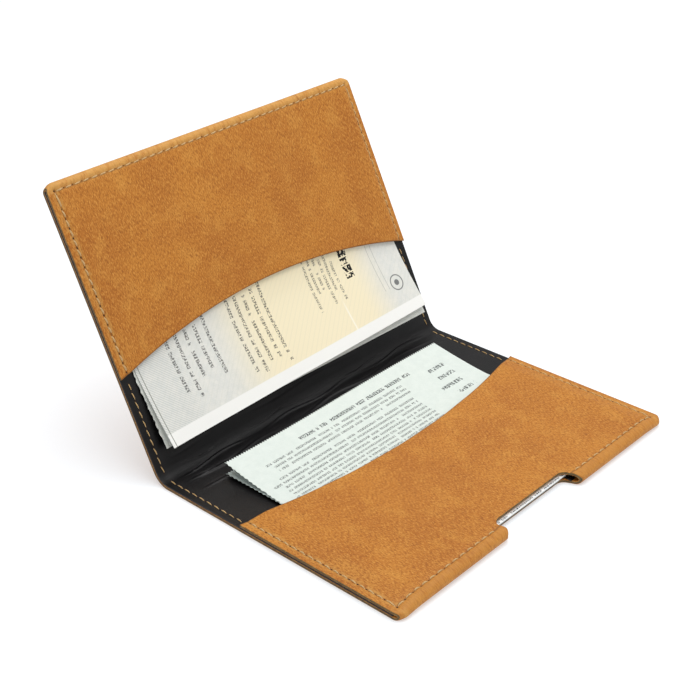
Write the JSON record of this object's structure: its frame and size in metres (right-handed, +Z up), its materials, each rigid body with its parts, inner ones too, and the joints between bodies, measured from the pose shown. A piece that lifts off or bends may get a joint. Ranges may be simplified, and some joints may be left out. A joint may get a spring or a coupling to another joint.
{
  "type": "document and card case",
  "caption": "Bifold leather case with an arched pocket in each half, a thumb notch, a bending spine, and folded papers in the pockets.",
  "frame": {"origin": "on the resting surface, under the centre of the open case's bounding box", "axes": "+X along the spine, +Y from the free edge of the flat front half towards the leaning rear half, +Z up"},
  "size_m": [0.13, 0.1374, 0.0872],
  "materials": {
    "hide": "waxed cognac tan hide with a mottled, softly napped face and lighter worn folds",
    "lining": "matt black cloth with a few soft wrinkles",
    "thread": "beige waxed thread",
    "certificate_paper": "printed security paper, cream with a blue-grey tint, illegible rows",
    "slip_paper": "thin pale mint paper with illegible printed rows",
    "card_plastic": "satin white plastic card"
  },
  "bodies": {
    "front_half": {"front_cover": "hide", "front_lining": "lining", "front_pocket": "hide", "front_edge_fold_left": "hide", "front_edge_fold_right": "hide", "seam_front_left": "thread", "seam_front_right": "thread", "seam_front_edge_left": "thread", "seam_front_edge_right": "thread"},
    "spine": {"spine_cover": "hide", "spine_lining": "lining", "seam_spine_left": "thread", "seam_spine_right": "thread"},
    "rear_half": {"rear_cover": "hide", "rear_lining": "lining", "rear_pocket": "hide", "rear_edge_fold": "hide", "seam_rear_left": "thread", "seam_rear_right": "thread", "seam_rear_top": "thread"},
    "certificate": {"certificate": "certificate_paper"},
    "slip": {"slip": "slip_paper"},
    "card": {"card": "card_plastic"}
  },
  "joints": [
    {"name": "front_fold", "type": "hinge", "parent": "front_half", "child": "spine", "pos_m": [0, 0.02309, 0.0008], "axis": [1, 0, 0], "range_deg": [-32, 58]},
    {"name": "rear_fold", "type": "hinge", "parent": "spine", "child": "rear_half", "pos_m": [0, 0.02834, 0.00409], "axis": [1, 0, 0], "range_deg": [-32, 58]},
    {"name": "certificate_slide", "type": "slide", "parent": "rear_half", "child": "certificate", "axis": [0, -0.4384, -0.8988], "range_m": [0, 0.004]},
    {"name": "slip_slide", "type": "slide", "parent": "front_half", "child": "slip", "axis": [0, 1, 0], "range_m": [0, 0.0065]},
    {"name": "card_slide", "type": "slide", "parent": "front_half", "child": "card", "axis": [0, 1, 0], "range_m": [0, 0.031]}
  ],
  "couplings": [
    {"joint": "rear_fold", "follows": "front_fold", "ratio": 1}
  ]
}
